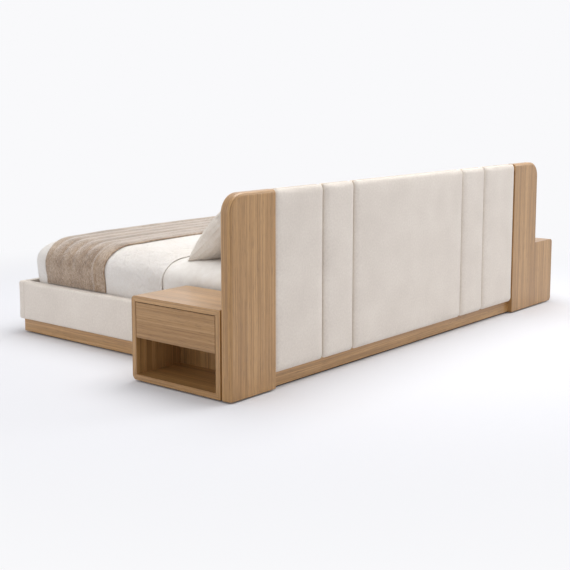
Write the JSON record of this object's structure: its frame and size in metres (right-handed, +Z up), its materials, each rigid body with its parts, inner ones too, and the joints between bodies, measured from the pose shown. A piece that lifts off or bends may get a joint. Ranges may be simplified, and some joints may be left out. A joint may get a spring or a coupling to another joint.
{
  "type": "bed with attached nightstands",
  "caption": "Wide upholstered bed on an oak plinth, its panelled headboard set between oak wings with a nightstand and sliding drawer at each side.",
  "frame": {"origin": "on the floor, under the middle of the whole piece's bounding box", "axes": "+Z up; +Y from the foot of the bed to the headboard's back; +X toward the sleeper's left, the side whose nightstand opens outward"},
  "size_m": [3.46, 2.15, 1.035],
  "materials": {
    "oak_veneer": "matt lacquered oak veneer, straight grain",
    "oak_top": "matt lacquered oak veneer, grain along the top",
    "oak_drawer_front": "matt lacquered oak veneer, horizontal grain",
    "oak_back_panel": "matt oak-faced plywood",
    "birch_ply": "clear lacquered birch plywood",
    "core_board": "plain particle board, cloth-covered at its top edge",
    "beech": "planed beech",
    "cream_upholstery": "soft suede-like woven upholstery",
    "white_bedding": "smooth cotton sheet over a soft mattress",
    "coverlet_cotton": "soft matt cotton coverlet",
    "taupe_throw": "brushed woven throw with tone-on-tone ridges",
    "pillow_linen": "washed linen weave with a piped seam",
    "black_toe": "matt black plastic",
    "black_plastic": "matt black plastic",
    "black_steel": "black powder-coated steel",
    "zinc_steel": "bright zinc-plated steel"
  },
  "bodies": {
    "bed": {"headboard_core": "core_board", "left_wing": "oak_veneer", "right_wing": "oak_veneer", "rear_outer_left_panel": "cream_upholstery", "rear_narrow_left_panel": "cream_upholstery", "rear_centre_panel": "cream_upholstery", "rear_narrow_right_panel": "cream_upholstery", "rear_outer_right_panel": "cream_upholstery", "front_left_panels": "cream_upholstery", "front_centre_panel": "cream_upholstery", "front_right_panels": "cream_upholstery", "headboard_base_rail": "oak_veneer", "headboard_toe": "black_toe", "panel_clips": "zinc_steel", "left_side_rail": "cream_upholstery", "right_side_rail": "cream_upholstery", "foot_rail": "cream_upholstery", "left_plinth": "oak_veneer", "right_plinth": "oak_veneer", "foot_plinth": "oak_veneer", "left_toe": "black_toe", "right_toe": "black_toe", "foot_toe": "black_toe", "left_ledger": "beech", "right_ledger": "beech", "centre_beam": "black_steel", "centre_legs": "black_steel", "slats": "beech", "slat_caps": "black_plastic", "frame_brackets": "zinc_steel", "frame_bolts": "zinc_steel", "mattress": "white_bedding", "coverlet": "coverlet_cotton", "throw": "taupe_throw", "pillow_rear_left": "pillow_linen", "pillow_rear_right": "pillow_linen", "pillow_front_left": "pillow_linen", "pillow_front_right": "pillow_linen", "left_case_top": "oak_top", "left_case_bottom": "oak_veneer", "left_case_free_side": "oak_veneer", "left_case_fixed_side": "oak_veneer", "left_case_back": "oak_back_panel", "left_case_toe": "black_toe", "left_cabinet_runners": "zinc_steel", "right_case_top": "oak_top", "right_case_bottom": "oak_veneer", "right_case_free_side": "oak_veneer", "right_case_fixed_side": "oak_veneer", "right_case_back": "oak_back_panel", "right_case_toe": "black_toe", "right_cabinet_runners": "zinc_steel"},
    "left_drawer": {"left_drawer_front": "oak_drawer_front", "left_drawer_box": "birch_ply", "left_drawer_runners": "zinc_steel"},
    "left_runner_middle": {"left_middle_runners": "zinc_steel"},
    "right_drawer": {"right_drawer_front": "oak_drawer_front", "right_drawer_box": "birch_ply", "right_drawer_runners": "zinc_steel"},
    "right_runner_middle": {"right_middle_runners": "zinc_steel"}
  },
  "joints": [
    {"name": "left_drawer_slide", "type": "slide", "parent": "bed", "child": "left_drawer", "axis": [1, 0, 0], "range_m": [0, 0.25]},
    {"name": "left_runner_slide", "type": "slide", "parent": "bed", "child": "left_runner_middle", "axis": [1, 0, 0], "range_m": [0, 0.125]},
    {"name": "right_drawer_slide", "type": "slide", "parent": "bed", "child": "right_drawer", "axis": [0, -1, 0], "range_m": [0, 0.25]},
    {"name": "right_runner_slide", "type": "slide", "parent": "bed", "child": "right_runner_middle", "axis": [0, -1, 0], "range_m": [0, 0.125]}
  ],
  "couplings": [
    {"joint": "left_runner_slide", "follows": "left_drawer_slide", "ratio": 0.5},
    {"joint": "right_runner_slide", "follows": "right_drawer_slide", "ratio": 0.5}
  ]
}
